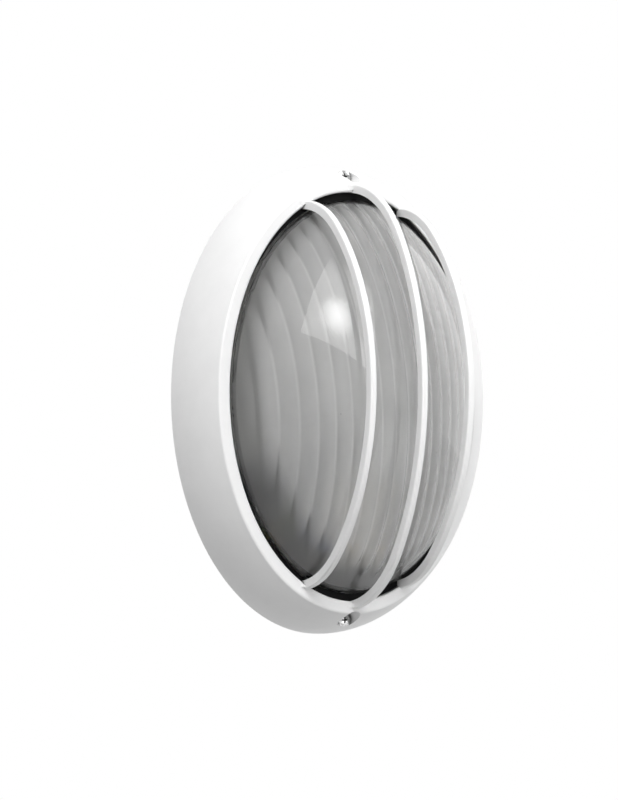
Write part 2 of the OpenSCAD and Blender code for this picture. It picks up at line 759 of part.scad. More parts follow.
module terminal_clamps() {
    color("gold") on_wall() at_ways() difference() {
        rotate([0, 90, 0]) cylinder(d = clamp_d, h = block_w - 3, center = true, $fn = 48);
        rotate([0, 90, 0]) cylinder(r = clamp_bore_r, h = block_w, center = true, $fn = 48);
        for (side = [-1, 1]) translate([side * tower_x, 0, 0])
            cylinder(r = clamp_screw_r + thread_fit, h = 10, $fn = 48);
    }
}

module terminal_screws() {
    color("gold") on_wall() at_ways() for (side = [-1, 1])
        translate([side * tower_x, 0, clamp_bore_r - 0.2]) difference() {
            union() {
                cylinder(r = clamp_screw_r, h = 5, $fn = 48);
                translate([0, 0, clamp_d / 2 - clamp_bore_r + 0.5]) cylinder(r = 1.8, h = 3.6, $fn = 48);
            }
            translate([-2, -0.3, 3.4]) cube([4, 0.6, 3]);
        }
}

module terminal_block_screw() {
    color("silver") on_wall() translate([block_pos[0], block_screw_y, block_z + block_h - 2.5])
        screw(1.5, block_h + 0.5, 2.2, 1.8);
}

// Earth terminal on the base: a screw with a cup washer that holds the lead down
module earth_screw() {
    color("gold") on_wall() translate([earth_pos[0], earth_pos[1], earth_z + washer_t])
        screw(small_r, 6, small_head_r, small_head_h);
}
module earth_washer() {
    color("gold") on_wall() translate([earth_pos[0], earth_pos[1], earth_z]) difference() {
        cylinder(r = 4.4, h = washer_t, $fn = 48);
        translate([0, 0, -past]) cylinder(r = small_r + 0.2, h = 3, $fn = 48);
        translate([-1.6, 2.2, 0.6 - past]) cube([3.2, 4, 3]);
    }
}

// A smooth curve through the route's points, cut into short steps
function curve_point(p, i, t) = let (
    a = p[max(i - 1, 0)], b = p[i], c = p[i + 1], d = p[min(i + 2, len(p) - 1)])
    0.5 * (2 * b + (c - a) * t + (2 * a - 5 * b + 4 * c - d) * t * t + (3 * b - a - 3 * c + d) * t * t * t);
function curve(p, steps) = concat(
    [for (i = [0:len(p) - 2]) for (k = [0:steps - 1]) curve_point(p, i, k / steps)], [p[len(p) - 1]]);
function unit(v) = v / norm(v);
function heading(p, i) = unit(p[min(i + 1, len(p) - 1)] - p[max(i - 1, 0)]);
// each ring's side direction is the last one's, turned as little as the curve allows
function side_dirs(p, i, last) = i >= len(p) ? [] :
    let (t = heading(p, i), s = unit(last - (last * t) * t)) concat([s], side_dirs(p, i + 1, s));

// A lead of diameter lead_d along a route, as one closed tube
module lead(route) {
    sides = 8;
    p = curve(route, 4);
    s = side_dirs(p, 0, [0.1, 0.2, 1]);
    rings = [for (i = [0:len(p) - 1]) for (k = [0:sides - 1])
        let (t = heading(p, i), u = cross(t, s[i]), a = 360 * k / sides)
        p[i] + lead_d / 2 * (cos(a) * s[i] + sin(a) * u)];
    last = (len(p) - 1) * sides;
    polyhedron(points = rings, faces = concat(
        [[for (k = [sides - 1:-1:0]) k]],
        [for (i = [0:len(p) - 2]) for (k = [0:sides - 1])
            let (a = i * sides + k, b = i * sides + (k + 1) % sides)
                each [[a, b, b + sides], [a, b + sides, a + sides]]],
        [[for (k = [0:sides - 1]) last + k]]));
}
module live_lead() { color("saddlebrown") on_wall() lead(live_route); }
module neutral_lead() { color("royalblue") on_wall() lead(neutral_route); }
module earth_lead() { color("yellowgreen") on_wall() lead(earth_route); }

wall_gasket();
rear_base();
cable_grommet();
glass_gasket();
glass_dome();
front_cage();
cover_screw_upper();
cover_screw_lower();
reflector();
reflector_screws();
lampholder_body();
lampholder_shell();
lampholder_contact();
lampholder_terminals();
lampholder_bracket();
lampholder_screws();
bracket_screws();
lamp();
terminal_block();
terminal_clamps();
terminal_screws();
terminal_block_screw();
earth_screw();
earth_washer();
live_lead();
neutral_lead();
earth_lead();
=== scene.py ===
"""Finishes of an oval outdoor wall light: a white cast cage over a fluted glass dome.

Lengths in the property groups and on the stage are metres. Pattern sizes inside the materials are
millimetres, because each material turns the object's own coordinates to millimetres.
"""

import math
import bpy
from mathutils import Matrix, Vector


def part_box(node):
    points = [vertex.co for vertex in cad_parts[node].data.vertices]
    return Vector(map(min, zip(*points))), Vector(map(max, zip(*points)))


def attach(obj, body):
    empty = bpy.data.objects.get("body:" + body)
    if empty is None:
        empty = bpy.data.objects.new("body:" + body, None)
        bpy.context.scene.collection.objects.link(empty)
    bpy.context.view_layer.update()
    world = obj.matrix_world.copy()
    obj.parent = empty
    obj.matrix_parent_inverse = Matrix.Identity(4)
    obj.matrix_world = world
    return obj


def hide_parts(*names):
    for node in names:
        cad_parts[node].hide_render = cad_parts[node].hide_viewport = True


bl_info = {
    "name": "Oval Wall Light Finishes",
    "version": (1, 0, 0),
    "blender": (4, 5, 0),
    "location": "View3D > Sidebar > Wall Light",
    "description": "Gives each piece of an oval caged wall light its finish and lights it for a picture",
    "category": "Material",
}

import bpy
from bpy.props import FloatProperty, FloatVectorProperty, PointerProperty
from mathutils import Matrix, Vector

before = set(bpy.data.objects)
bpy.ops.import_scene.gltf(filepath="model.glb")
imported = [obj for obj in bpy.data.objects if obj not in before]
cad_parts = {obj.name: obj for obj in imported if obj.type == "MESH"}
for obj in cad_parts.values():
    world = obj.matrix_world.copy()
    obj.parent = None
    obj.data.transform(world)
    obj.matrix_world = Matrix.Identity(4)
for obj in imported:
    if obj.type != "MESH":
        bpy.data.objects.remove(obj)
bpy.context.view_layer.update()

MM = 0.001                  # metres

# What the glass mesh says of each point: how matt it is, and whether it is on a ridge between flutes
MATT = "matt"
RIDGE = "ridge"

# A Mix node's sockets for colours, which have the same names as its sockets for numbers
FACTOR, COLOUR_A, COLOUR_B = 0, 6, 7
MIXED = 2

# The picture's camera, in millimetres, and how far it sees, in metres
SENSOR_WIDTH = 36.0
SIGHT = 50.0

FLOOR_HALF = 6.0            # metres, from the floor's middle to its edges

# The soft boxes. Each has its lower right corner as seen from the wall light, the ways across and up it, and
# its size, in metres. Its cloth is at its full brightness within the first distance of fade above and below
# a level, given from its lower edge, and has sunk to dim, a share of that, at the second. The key box, tall
# and above the camera, shows in the glass, with its lamp as a hot spot that far across and up it.
SOFT_BOXES = {
    "key": {"corner": (-1.053, -0.668, 0.621), "across": (0.715, -0.654, -0.246),
            "up": (0.205, -0.140, 0.969), "size": (1.45, 2.2), "level": 0.0, "fade": (1.2, 2.3), "dim": 0.1,
            "lamp": (0.55, 0.43)},
    "side": {"corner": (1.25, -0.55, -0.2), "across": (0.05, 1.0, 0.0), "up": (0.0, 0.0, 1.0),
             "size": (0.9, 1.6), "level": 1.35, "fade": (0.0, 1.25), "dim": 0.25},
    "low": {"corner": (0.0288, -1.4629, -1.0544), "across": (0.8870, 0.4618, 0.0),
            "up": (0.1640, -0.3151, 0.9348), "size": (1.3, 1.05), "level": 0.52, "fade": (0.1, 0.52),
            "dim": 0.0},
}
HOT_SPOT_REACH = 0.45       # metres, from the lamp to where its hot spot ends
HOT_SPOT_GAIN = 3.2         # what the lamp adds at its middle, in shares of the cloth's brightness


def srgb(code):
    """A linear colour with alpha from an sRGB hex code such as 'E8E6E1'."""
    def linear(value):
        return value / 12.92 if value <= 0.04045 else ((value + 0.055) / 1.055) ** 2.4
    return tuple(linear(int(code[i:i + 2], 16) / 255) for i in (0, 2, 4)) + (1.0,)


def shaded(colour, share):
    """The colour with that share of its light left."""
    return tuple(part * share for part in colour[:3]) + (1.0,)


def placed(origin, *axes):
    """The matrix of an object at origin whose own axes point these ways."""
    return Matrix.Translation(origin) @ Matrix(axes).transposed().to_4x4()


def add_node(tree, kind, links=None, sockets=None, stops=(), **settings):
    """Adds a node with its settings, its sockets' values, its colour stops and its links from outputs."""
    node = tree.nodes.new(kind)
    for key, value in settings.items():
        setattr(node, key, value)
    for socket, value in (sockets or {}).items():
        node.inputs[socket].default_value = value
    for index, (position, colour) in enumerate(stops):
        node.color_ramp.elements[index].position = position
        node.color_ramp.elements[index].color = colour
    for socket, output in (links or {}).items():
        tree.links.new(output, node.inputs[socket])
    return node


def new_material(name):
    """An empty node material, its tree, and where on the object a point is, in millimetres."""
    material = bpy.data.materials.new(name)
    material.use_nodes = True
    tree = material.node_tree
    tree.nodes.clear()
    place = add_node(tree, "ShaderNodeTexCoord")
    millimetres = add_node(tree, "ShaderNodeMapping", {"Vector": place.outputs["Object"]},
                           {"Scale": (1 / MM, 1 / MM, 1 / MM)})
    return material, tree, millimetres.outputs["Vector"]


def seen_directly(tree, mirrored=1.0):
    """One where a point is seen straight or through glass, mirrored where reflected, otherwise zero."""
    path = add_node(tree, "ShaderNodeLightPath")
    straight = add_node(tree, "ShaderNodeMath",
                        {0: path.outputs["Is Camera Ray"], 1: path.outputs["Is Transmission Ray"]},
                        operation="MAXIMUM")
    glossy = add_node(tree, "ShaderNodeMath", {0: path.outputs["Is Glossy Ray"]}, {1: mirrored},
                      operation="MULTIPLY")
    return add_node(tree, "ShaderNodeMath", {0: straight.outputs["Value"], 1: glossy.outputs["Value"]},
                    operation="MAXIMUM").outputs["Value"]


def apply_finish(material, *nodes):
    """Gives CAD nodes this one material."""
    for name in nodes:
        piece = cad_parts[name]
        piece.data.materials.clear()
        piece.data.materials.append(material)


def powder_coat(settings):
    """Satin white polyester powder coat, sprayed and baked on an aluminium casting.

    It gives an even soft sheen with faint orange peel, over the casting's slow unevenness. Ambient occlusion
    darkens the deepest corners, such as the bottoms of the screw pockets: this is painted shade.
    """
    casting_lump, casting_height = 22.0, 0.25
    peel_height = 0.035
    dust_patch, dust_shade = 30.0, 0.965
    shade_reach = 9.0
    clean = tuple(settings.paint_colour)
    material, tree, mm = new_material("satin_powder_coat_on_cast_aluminium")
    casting = add_node(tree, "ShaderNodeTexNoise", {"Vector": mm},
                       {"Scale": 1 / casting_lump, "Detail": 3.0})
    uneven = add_node(tree, "ShaderNodeBump", {"Height": casting.outputs["Fac"]},
                      {"Distance": casting_height * MM})
    peel = add_node(tree, "ShaderNodeTexNoise", {"Vector": mm}, {"Scale": MM / settings.peel_size})
    surface = add_node(tree, "ShaderNodeBump",
                       {"Height": peel.outputs["Fac"], "Normal": uneven.outputs["Normal"]},
                       {"Distance": peel_height * MM})
    dust = add_node(tree, "ShaderNodeTexNoise", {"Vector": mm},
                    {"Scale": 1 / dust_patch, "Detail": 4.0, "Roughness": 0.6})
    paint = add_node(tree, "ShaderNodeValToRGB", {"Fac": dust.outputs["Fac"]},
                     stops=((0.35, shaded(clean, dust_shade)), (0.6, clean)))
    # Painted shade: ambient occlusion darkens the corners and recesses of the paint.
    corner = add_node(tree, "ShaderNodeAmbientOcclusion", sockets={"Distance": shade_reach * MM}, samples=8)
    corner_shade = add_node(tree, "ShaderNodeValToRGB", {"Fac": corner.outputs["AO"]},
                     stops=((0.12, srgb("4A4A4A")), (0.42, srgb("FFFFFF"))))
    colour = add_node(tree, "ShaderNodeMix",
                      {COLOUR_A: paint.outputs["Color"], COLOUR_B: corner_shade.outputs["Color"]},
                      {FACTOR: 1.0}, data_type="RGBA", blend_type="MULTIPLY")
    rough = add_node(tree, "ShaderNodeMapRange", {"Value": dust.outputs["Fac"]},
                     {"To Min": 0.40, "To Max": 0.30})
    shader = add_node(tree, "ShaderNodeBsdfPrincipled",
                      {"Base Color": colour.outputs[MIXED], "Roughness": rough.outputs["Result"],
                       "Normal": surface.outputs["Normal"]},
                      {"IOR": 1.5})
    add_node(tree, "ShaderNodeOutputMaterial", {"Surface": shader.outputs["BSDF"]})
    return material


def polished_glass(settings):
    """Soda-lime glass, pressed in a mould and fire-polished.

    It gives a clear surface with a sharp reflection that waves slightly, and a few seeds, which are specks
    of trapped gas.
    """
    wave_size, wave_height = 14.0, 0.05
    seed_heart, seed_edge = 0.324, 0.468
    seed_gap = settings.seed_gap / MM
    material, tree, mm = new_material("fire_polished_soda_lime_glass")
    waves = add_node(tree, "ShaderNodeTexNoise", {"Vector": mm}, {"Scale": 1 / wave_size})
    surface = add_node(tree, "ShaderNodeBump", {"Height": waves.outputs["Fac"]},
                       {"Distance": wave_height * MM})
    seeds = add_node(tree, "ShaderNodeTexVoronoi", {"Vector": mm}, {"Scale": 1 / seed_gap})
    clear = add_node(tree, "ShaderNodeMapRange", {"Value": seeds.outputs["Distance"]},
                     {"From Min": seed_heart / seed_gap, "From Max": seed_edge / seed_gap, "To Min": 0.3})
    shader = add_node(tree, "ShaderNodeBsdfPrincipled",
                      {"Normal": surface.outputs["Normal"], "Transmission Weight": clear.outputs["Result"]},
                      {"Base Color": tuple(settings.glass_colour), "Roughness": 0.03, "IOR": 1.52})
    add_node(tree, "ShaderNodeOutputMaterial", {"Surface": shader.outputs["BSDF"]})
    return material


def frosted_glass(settings):
    """The inside of the glass, with flutes that the mould left matt.

    It gives an even milky grey over what is behind, with ridges painted paler as a highlight. The plain band
    round the flutes came out of the mould clearer, and is tinted dark grey as painted shade for the dark
    space behind it;
    each flute's left flank takes some of that tint, which is painted shade too.
    """
    cloud_size, cloud_shade = 16.0, 0.94
    band_roughness = 0.45
    frost = tuple(settings.frost_colour)
    material, tree, mm = new_material("mould_matt_soda_lime_glass")
    matt = add_node(tree, "ShaderNodeAttribute", attribute_name=MATT).outputs["Fac"]
    ridge = add_node(tree, "ShaderNodeAttribute", attribute_name=RIDGE).outputs["Fac"]
    cloud = add_node(tree, "ShaderNodeTexNoise", {"Vector": mm}, {"Scale": 1 / cloud_size})
    tint = add_node(tree, "ShaderNodeValToRGB", {"Fac": cloud.outputs["Fac"]},
                    stops=((0.3, shaded(frost, cloud_shade)), (0.7, frost)))
    # Painted highlight: the ridges get a paler tint.
    flutes = add_node(tree, "ShaderNodeMix", {FACTOR: ridge, COLOUR_A: tint.outputs["Color"]},
                      {COLOUR_B: tuple(settings.ridge_highlight_colour)}, data_type="RGBA")
    # Painted shade: away from the matt flutes the colour goes to the band's dark tint.
    colour = add_node(tree, "ShaderNodeMix", {FACTOR: matt, COLOUR_B: flutes.outputs[MIXED]},
                      {COLOUR_A: tuple(settings.band_shade_colour)}, data_type="RGBA")
    rough = add_node(tree, "ShaderNodeMapRange", {"Value": matt},
                     {"To Min": band_roughness, "To Max": settings.frost})
    clear = add_node(tree, "ShaderNodeMapRange", {"Value": matt},
                     {"To Min": 1.0, "To Max": 1.0 - settings.milk})
    shader = add_node(tree, "ShaderNodeBsdfPrincipled",
                      {"Base Color": colour.outputs[MIXED], "Roughness": rough.outputs["Result"],
                       "Transmission Weight": clear.outputs["Result"]},
                      {"IOR": 1.52})
    add_node(tree, "ShaderNodeOutputMaterial", {"Surface": shader.outputs["BSDF"]})
    return material


def moulded_rubber():
    """Black EPDM rubber, moulded: matt and very dark, with a fine dusty bloom."""
    bloom_patch = 6.0
    grain_size, grain_height = 0.8, 0.02
    material, tree, mm = new_material("moulded_black_epdm_rubber")
    bloom = add_node(tree, "ShaderNodeTexNoise", {"Vector": mm},
                     {"Scale": 1 / bloom_patch, "Detail": 4.0})
    colour = add_node(tree, "ShaderNodeValToRGB", {"Fac": bloom.outputs["Fac"]},
                      stops=((0.3, srgb("060606")), (0.7, srgb("0E0E0E"))))
    grain = add_node(tree, "ShaderNodeTexNoise", {"Vector": mm}, {"Scale": 1 / grain_size})
    surface = add_node(tree, "ShaderNodeBump", {"Height": grain.outputs["Fac"]},
                       {"Distance": grain_height * MM})
    shader = add_node(tree, "ShaderNodeBsdfPrincipled",
                      {"Base Color": colour.outputs["Color"], "Normal": surface.outputs["Normal"]},
                      {"Roughness": 0.8, "IOR": 1.52, "Specular IOR Level": 0.18})
    add_node(tree, "ShaderNodeOutputMaterial", {"Surface": shader.outputs["BSDF"]})
    return material


def closed_cell_foam():
    """Black neoprene foam, cut from sheet: dull, with open bubbles along its cut edge."""
    bubble_size, bubble_depth = 0.9, 0.15
    material, tree, mm = new_material("cut_neoprene_foam")
    cells = add_node(tree, "ShaderNodeTexVoronoi", {"Vector": mm}, {"Scale": 1 / bubble_size})
    colour = add_node(tree, "ShaderNodeValToRGB", {"Fac": cells.outputs["Distance"]},
                      stops=((0.1, srgb("1A1A1A")), (0.7, srgb("343434"))))
    surface = add_node(tree, "ShaderNodeBump", {"Height": cells.outputs["Distance"]},
                       {"Distance": bubble_depth * MM})
    shader = add_node(tree, "ShaderNodeBsdfPrincipled",
                      {"Base Color": colour.outputs["Color"], "Normal": surface.outputs["Normal"]},
                      {"Roughness": 0.9, "IOR": 1.5})
    add_node(tree, "ShaderNodeOutputMaterial", {"Surface": shader.outputs["BSDF"]})
    return material


def bright_plated_steel():
    """Nickel-plated steel, rolled and punched: bright, with faint stains and a fine grain."""
    stain_size = 3.0
    grain_size, grain_height = 0.7, 0.01
    material, tree, mm = new_material("bright_nickel_plated_steel")
    stain = add_node(tree, "ShaderNodeTexNoise", {"Vector": mm}, {"Scale": 1 / stain_size, "Detail": 3.0})
    colour = add_node(tree, "ShaderNodeValToRGB", {"Fac": stain.outputs["Fac"]},
                      stops=((0.3, srgb("B9B8B4")), (0.7, srgb("DAD9D6"))))
    rough = add_node(tree, "ShaderNodeMapRange", {"Value": stain.outputs["Fac"]},
                     {"To Min": 0.14, "To Max": 0.26})
    grain = add_node(tree, "ShaderNodeTexNoise", {"Vector": mm}, {"Scale": 1 / grain_size})
    surface = add_node(tree, "ShaderNodeBump", {"Height": grain.outputs["Fac"]},
                       {"Distance": grain_height * MM})
    shader = add_node(tree, "ShaderNodeBsdfPrincipled",
                      {"Base Color": colour.outputs["Color"], "Roughness": rough.outputs["Result"],
                       "Normal": surface.outputs["Normal"]},
                      {"Metallic": 1.0})
    add_node(tree, "ShaderNodeOutputMaterial", {"Surface": shader.outputs["BSDF"]})
    return material


def chromed_steel():
    """Chrome-plated steel, cold headed: mirror bright, with the cross recess blackened by ambient occlusion,
    which is painted shade.
    """
    stain_size = 1.6
    recess_shade_reach = 2.2
    material, tree, mm = new_material("chromed_cold_headed_steel")
    stain = add_node(tree, "ShaderNodeTexNoise", {"Vector": mm}, {"Scale": 1 / stain_size})
    chrome = add_node(tree, "ShaderNodeValToRGB", {"Fac": stain.outputs["Fac"]},
                      stops=((0.3, srgb("A0A0A0")), (0.7, srgb("F4F4F4"))))
    # Painted shade: ambient occlusion blackens the cross recess.
    recess = add_node(tree, "ShaderNodeAmbientOcclusion", sockets={"Distance": recess_shade_reach * MM}, samples=16)
    recess_shade = add_node(tree, "ShaderNodeValToRGB", {"Fac": recess.outputs["AO"]},
                    stops=((0.40, srgb("060606")), (0.62, srgb("FFFFFF"))))
    colour = add_node(tree, "ShaderNodeMix",
                      {COLOUR_A: chrome.outputs["Color"], COLOUR_B: recess_shade.outputs["Color"]},
                      {FACTOR: 1.0}, data_type="RGBA", blend_type="MULTIPLY")
    shader = add_node(tree, "ShaderNodeBsdfPrincipled", {"Base Color": colour.outputs[MIXED]},
                      {"Metallic": 1.0, "Roughness": 0.12})
    add_node(tree, "ShaderNodeOutputMaterial", {"Surface": shader.outputs["BSDF"]})
    return material


def cast_aluminium():
    """Die-cast aluminium, left as cast: grey, with slow flow marks and a fine grain."""
    flow_size = 18.0
    grain_size, grain_height = 1.2, 0.04
    material, tree, mm = new_material("as_cast_aluminium")
    flow = add_node(tree, "ShaderNodeTexNoise", {"Vector": mm},
                    {"Scale": 1 / flow_size, "Detail": 5.0, "Roughness": 0.6})
    colour = add_node(tree, "ShaderNodeValToRGB", {"Fac": flow.outputs["Fac"]},
                      stops=((0.3, srgb("A3A4A6")), (0.7, srgb("C4C5C6"))))
    rough = add_node(tree, "ShaderNodeMapRange", {"Value": flow.outputs["Fac"]},
                     {"To Min": 0.42, "To Max": 0.60})
    grain = add_node(tree, "ShaderNodeTexNoise", {"Vector": mm}, {"Scale": 1 / grain_size, "Detail": 4.0})
    surface = add_node(tree, "ShaderNodeBump", {"Height": grain.outputs["Fac"]},
                       {"Distance": grain_height * MM})
    shader = add_node(tree, "ShaderNodeBsdfPrincipled",
                      {"Base Color": colour.outputs["Color"], "Roughness": rough.outputs["Result"],
                       "Normal": surface.outputs["Normal"]},
                      {"Metallic": 1.0})
    add_node(tree, "ShaderNodeOutputMaterial", {"Surface": shader.outputs["BSDF"]})
    return material


def stoved_white_sheet():
    """Aluminium sheet, pressed and stoved gloss white: very even, with a clear reflection."""
    ripple_size, ripple_height = 25.0, 0.15
    material, tree, mm = new_material("gloss_white_stoved_sheet")
    ripple = add_node(tree, "ShaderNodeTexNoise", {"Vector": mm},
                      {"Scale": 1 / ripple_size, "Detail": 1.0})
    colour = add_node(tree, "ShaderNodeValToRGB", {"Fac": ripple.outputs["Fac"]},
                      stops=((0.3, srgb("EAEAE6")), (0.7, srgb("F1F1EE"))))
    surface = add_node(tree, "ShaderNodeBump", {"Height": ripple.outputs["Fac"]},
                       {"Distance": ripple_height * MM})
    shader = add_node(tree, "ShaderNodeBsdfPrincipled",
                      {"Base Color": colour.outputs["Color"], "Normal": surface.outputs["Normal"]},
                      {"Roughness": 0.18, "IOR": 1.5})
    add_node(tree, "ShaderNodeOutputMaterial", {"Surface": shader.outputs["BSDF"]})
    return material


def glazed_porcelain():
    """Porcelain, pressed and glazed: warm white under a thick clear gloss."""
    body_lump, body_height = 8.0, 0.06
    material, tree, mm = new_material("glazed_porcelain")
    body = add_node(tree, "ShaderNodeTexNoise", {"Vector": mm}, {"Scale": 1 / body_lump, "Detail": 3.0})
    colour = add_node(tree, "ShaderNodeValToRGB", {"Fac": body.outputs["Fac"]},
                      stops=((0.3, srgb("E6E2D8")), (0.7, srgb("F2EFE7"))))
    surface = add_node(tree, "ShaderNodeBump", {"Height": body.outputs["Fac"]},
                       {"Distance": body_height * MM})
    shader = add_node(tree, "ShaderNodeBsdfPrincipled",
                      {"Base Color": colour.outputs["Color"], "Normal": surface.outputs["Normal"]},
                      {"Roughness": 0.25, "IOR": 1.5, "Coat Weight": 0.6, "Coat Roughness": 0.05})
    add_node(tree, "ShaderNodeOutputMaterial", {"Surface": shader.outputs["BSDF"]})
    return material


def turned_brass():
    """Brass, turned from bar: yellow, with a light tarnish."""
    tarnish_size = 2.5
    material, tree, mm = new_material("turned_brass")
    tarnish = add_node(tree, "ShaderNodeTexNoise", {"Vector": mm},
                       {"Scale": 1 / tarnish_size, "Detail": 4.0})
    colour = add_node(tree, "ShaderNodeValToRGB", {"Fac": tarnish.outputs["Fac"]},
                      stops=((0.3, srgb("B08D4A")), (0.7, srgb("D9BC76"))))
    rough = add_node(tree, "ShaderNodeMapRange", {"Value": tarnish.outputs["Fac"]},
                     {"To Min": 0.20, "To Max": 0.36})
    shader = add_node(tree, "ShaderNodeBsdfPrincipled",
                      {"Base Color": colour.outputs["Color"], "Roughness": rough.outputs["Result"]},
                      {"Metallic": 1.0})
    add_node(tree, "ShaderNodeOutputMaterial", {"Surface": shader.outputs["BSDF"]})
    return material


def opal_lamp_glass():
    """Opal glass, blown and coated inside, on a rolled aluminium cap.

    It gives a soft even white under a clear gloss, and bare metal with a thread at the lamp's lower end.
    """
    threaded_length, thread_pitch, thread_depth = 21.36, 3.6, 0.4
    shade_size = 20.0
    thread_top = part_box("lamp")[0][2] / MM + threaded_length
    material, tree, mm = new_material("blown_opal_glass_with_aluminium_cap")
    place = add_node(tree, "ShaderNodeSeparateXYZ", {"Vector": mm})
    metal = add_node(tree, "ShaderNodeMath", {0: place.outputs["Z"]},
                     {1: thread_top}, operation="LESS_THAN")
    turns = add_node(tree, "ShaderNodeMath", {0: place.outputs["Z"]}, {1: 2 * math.pi / thread_pitch},
                     operation="MULTIPLY")
    wave = add_node(tree, "ShaderNodeMath", {0: turns.outputs["Value"]}, operation="SINE")
    thread = add_node(tree, "ShaderNodeMath", {0: wave.outputs["Value"], 1: metal.outputs["Value"]},
                      operation="MULTIPLY")
    surface = add_node(tree, "ShaderNodeBump", {"Height": thread.outputs["Value"]},
                       {"Distance": thread_depth * MM})
    shade = add_node(tree, "ShaderNodeTexNoise", {"Vector": mm}, {"Scale": 1 / shade_size})
    opal = add_node(tree, "ShaderNodeValToRGB", {"Fac": shade.outputs["Fac"]},
                    stops=((0.3, srgb("EDEDE9")), (0.7, srgb("F5F5F2"))))
    colour = add_node(tree, "ShaderNodeMix",
                      {FACTOR: metal.outputs["Value"], COLOUR_A: opal.outputs["Color"]},
                      {COLOUR_B: srgb("C6C6C4")}, data_type="RGBA")
    rough = add_node(tree, "ShaderNodeMapRange", {"Value": metal.outputs["Value"]},
                     {"To Min": 0.12, "To Max": 0.3})
    shader = add_node(tree, "ShaderNodeBsdfPrincipled",
                      {"Base Color": colour.outputs[MIXED], "Metallic": metal.outputs["Value"],
                       "Roughness": rough.outputs["Result"], "Normal": surface.outputs["Normal"]})
    add_node(tree, "ShaderNodeOutputMaterial", {"Surface": shader.outputs["BSDF"]})
    return material


def moulded_plastic(name, dark, light, roughness):
    """A thermoplastic or silicone piece in one colour, moulded or extruded: slightly waxy and uneven."""
    tone_size = 5.0
    grain_size, grain_height = 1.0, 0.015
    material, tree, mm = new_material(name)
    tone = add_node(tree, "ShaderNodeTexNoise", {"Vector": mm}, {"Scale": 1 / tone_size, "Detail": 3.0})
    colour = add_node(tree, "ShaderNodeValToRGB", {"Fac": tone.outputs["Fac"]},
                      stops=((0.3, srgb(dark)), (0.7, srgb(light))))
    grain = add_node(tree, "ShaderNodeTexNoise", {"Vector": mm}, {"Scale": 1 / grain_size})
    surface = add_node(tree, "ShaderNodeBump", {"Height": grain.outputs["Fac"]},
                       {"Distance": grain_height * MM})
    shader = add_node(tree, "ShaderNodeBsdfPrincipled",
                      {"Base Color": colour.outputs["Color"], "Normal": surface.outputs["Normal"]},
                      {"Roughness": roughness, "IOR": 1.5})
    add_node(tree, "ShaderNodeOutputMaterial", {"Surface": shader.outputs["BSDF"]})
    return material


def floor_paint(settings):
    """Matt emulsion on a studio floor: pale and even.

    It is lifted to white where it is seen, and throws no more light on the object for that.
    """
    patch_size = 400.0
    material, tree, mm = new_material("pale_studio_floor")
    patches = add_node(tree, "ShaderNodeTexNoise", {"Vector": mm}, {"Scale": 1 / patch_size})
    colour = add_node(tree, "ShaderNodeValToRGB", {"Fac": patches.outputs["Fac"]},
                      stops=((0.3, srgb("B4B4B4")), (0.7, srgb("B9B9B9"))))
    shader = add_node(tree, "ShaderNodeBsdfPrincipled", {"Base Color": colour.outputs["Color"]},
                      {"Roughness": 0.8})
    strength = add_node(tree, "ShaderNodeMath", {0: seen_directly(tree, settings.floor_mirrored)},
                        {1: settings.floor_lift}, operation="MULTIPLY")
    lift = add_node(tree, "ShaderNodeEmission", {"Strength": strength.outputs["Value"]})
    both = add_node(tree, "ShaderNodeAddShader", {0: shader.outputs["BSDF"], 1: lift.outputs["Emission"]})
    add_node(tree, "ShaderNodeOutputMaterial", {"Surface": both.outputs["Shader"]})
    return material


class CageSettings(bpy.types.PropertyGroup):
    paint_colour: FloatVectorProperty(
        name="Paint", description="Colour of the powder coat", subtype="COLOR", size=4, min=0, max=1,
        default=srgb("F0F0F0"))
    peel_size: FloatProperty(
        name="Orange peel", description="Width of the coat's fine bumps", unit="LENGTH", default=0.0018,
        min=0.0005)


